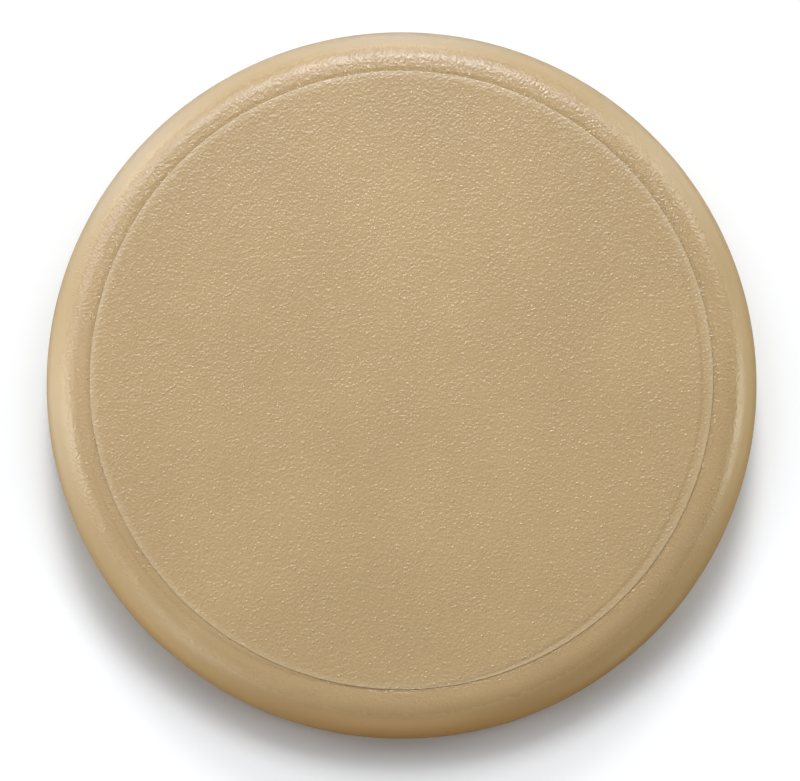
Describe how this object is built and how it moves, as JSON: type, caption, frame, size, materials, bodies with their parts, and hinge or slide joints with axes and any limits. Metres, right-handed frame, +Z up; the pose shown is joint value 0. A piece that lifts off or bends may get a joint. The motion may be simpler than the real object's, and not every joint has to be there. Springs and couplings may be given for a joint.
{
  "type": "dealer button",
  "caption": "Round two-sided table marker: two tan moulded half shells over a steel weight, with a thin textured disc set into each face.",
  "frame": {"origin": "centre of the underside, where the lower face disc rests on the table", "axes": "+Z up through the middle of both faces, along the button's axis; +X and +Y lie in the resting plane"},
  "size_m": [0.0508, 0.0508, 0.0063],
  "materials": {
    "shell_plastic": "tan moulded plastic, satin, fine leather-like grain on the rim, smooth rounded edge",
    "face_plastic": "tan plastic sheet, satin, fine leather-like grain",
    "adhesive": "pale, dull, slightly rough transfer adhesive",
    "slug_steel": "stamped mild steel with rolling marks"
  },
  "bodies": {
    "root": {"lower_shell": "shell_plastic", "upper_shell": "shell_plastic", "weight_slug": "slug_steel", "lower_adhesive": "adhesive", "upper_adhesive": "adhesive", "lower_face_disc": "face_plastic", "upper_face_disc": "face_plastic"}
  },
  "joints": []
}
